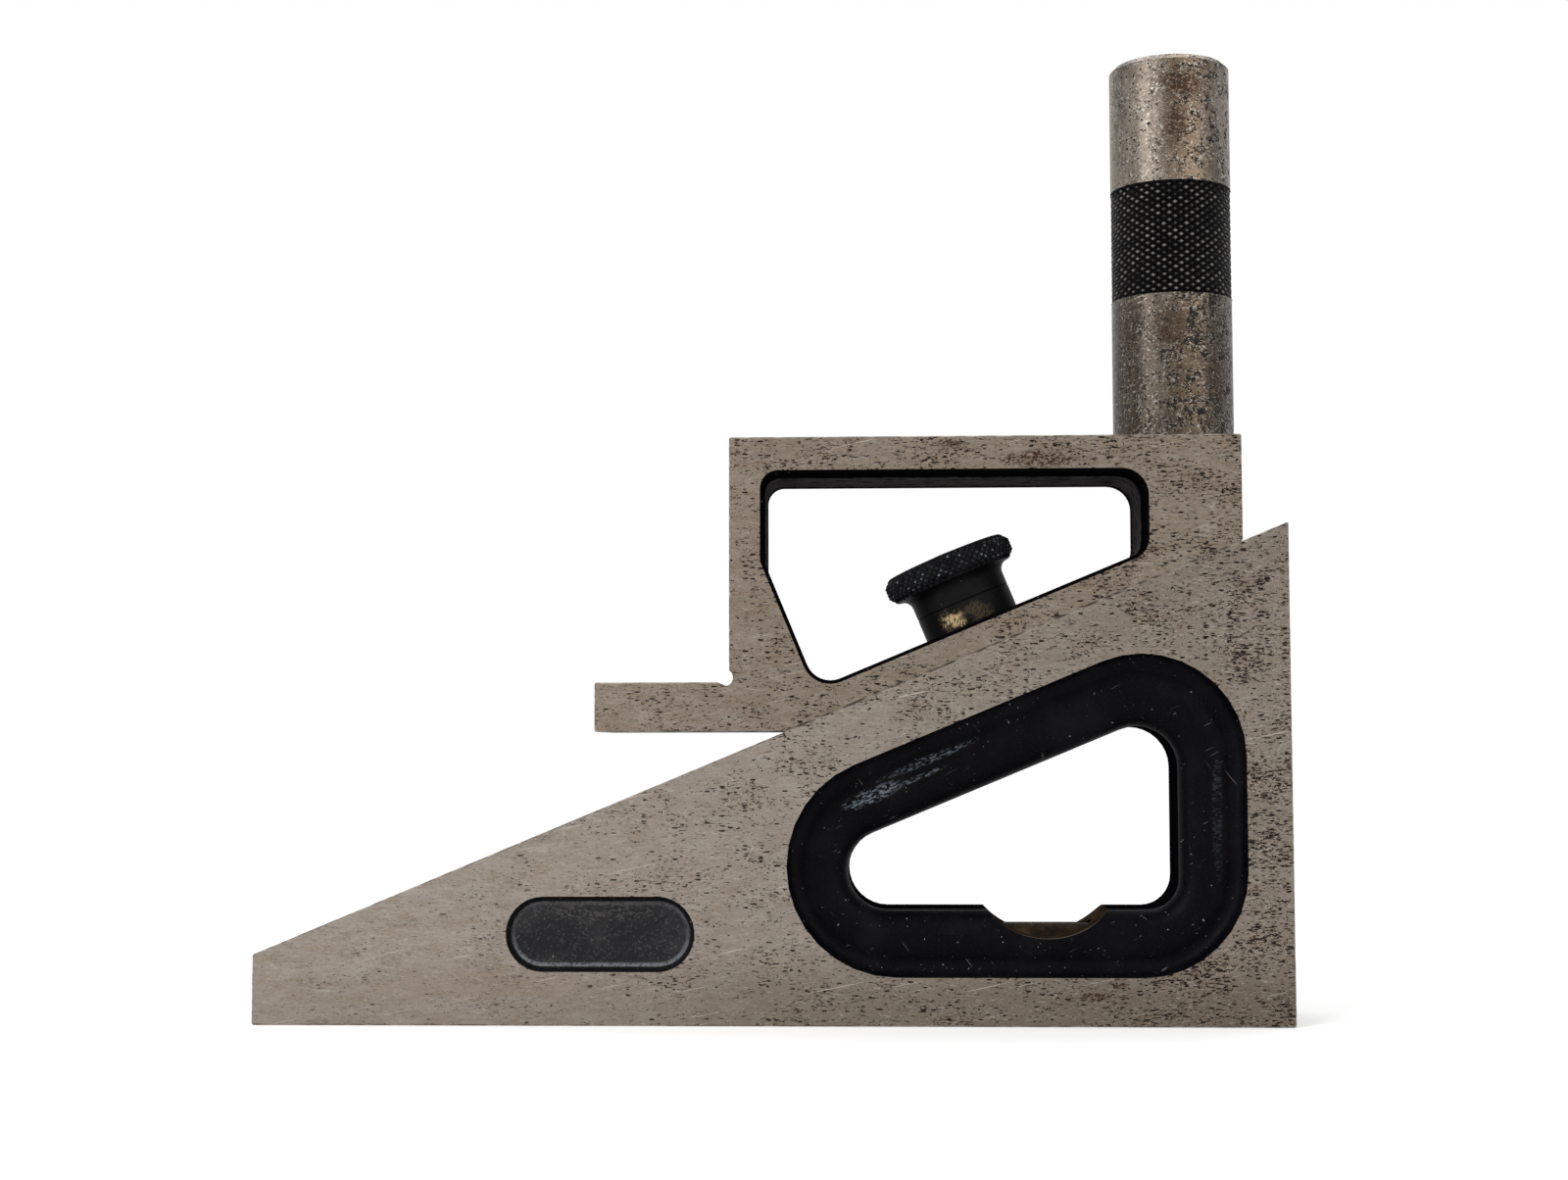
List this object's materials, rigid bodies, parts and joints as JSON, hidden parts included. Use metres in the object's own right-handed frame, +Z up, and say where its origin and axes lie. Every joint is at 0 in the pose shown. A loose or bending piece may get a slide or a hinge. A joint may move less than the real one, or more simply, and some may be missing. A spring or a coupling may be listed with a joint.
{
  "type": "planer gauge",
  "caption": "Planer and shaper gauge: wedge base with a level and grip opening, a lockable slide that climbs its incline, and a knurled screw-on extension post.",
  "frame": {"origin": "middle of the base's sole, the face that it stands on", "axes": "+X along the base towards its tall end, +Y through the thickness away from the front face, which carries the oval recess, +Z up"},
  "size_m": [0.1334, 0.0206, 0.1264],
  "materials": {
    "base_steel": "ground faces gone grey-brown, black enamel in the recesses",
    "slide_steel": "ground, pitted, black enamel inside the window",
    "post_steel": "turned and polished, stained, knurled band",
    "bright_steel": "turned steel",
    "blued_steel": "black oxide, worn to brass-yellow at one edge",
    "tube_brass": "dull drawn brass",
    "vial_glass": "clear glass",
    "vial_spirit": "yellow-green spirit with an air bubble",
    "seal_plaster": "set plaster"
  },
  "bodies": {
    "base": {"base": "base_steel", "vial_tube": "tube_brass", "vial_glass": "vial_glass", "vial_spirit": "vial_spirit", "vial_seal_left": "seal_plaster", "vial_seal_right": "seal_plaster", "level_plug": "bright_steel"},
    "slide": {"slide": "slide_steel", "lock_collar": "blued_steel"},
    "lock_nut": {"lock_nut": "blued_steel"},
    "lock_bolt": {"lock_bolt": "blued_steel"},
    "post_stud": {"post_stud": "bright_steel"},
    "extension_post": {"extension_post": "post_steel"}
  },
  "joints": [
    {"name": "slide_travel", "type": "slide", "parent": "base", "child": "slide", "axis": [0.9239, 0, 0.3827], "range_m": [-0.0975, 0.036]},
    {"name": "lock_turn", "type": "hinge", "parent": "slide", "child": "lock_nut", "pos_m": [0.02802, 0, 0.04818], "axis": [-0.3827, 0, 0.9239], "range_deg": [0, 120]},
    {"name": "bolt_drop", "type": "slide", "parent": "slide", "child": "lock_bolt", "axis": [0.3827, 0, -0.9239], "range_m": [0, 0.0003]},
    {"name": "post_lift", "type": "slide", "parent": "slide", "child": "post_stud", "axis": [0, 0, 1], "range_m": [0, 0.008]},
    {"name": "post_turn", "type": "hinge", "parent": "post_stud", "child": "extension_post", "pos_m": [0.05349, 0, 0.07558], "axis": [0, 0, 1], "range_deg": [0, 3600]}
  ],
  "couplings": [
    {"joint": "bolt_drop", "follows": "lock_turn", "m_per_rad": 0.00012633},
    {"joint": "post_lift", "follows": "post_turn", "m_per_rad": 0.00012633}
  ]
}
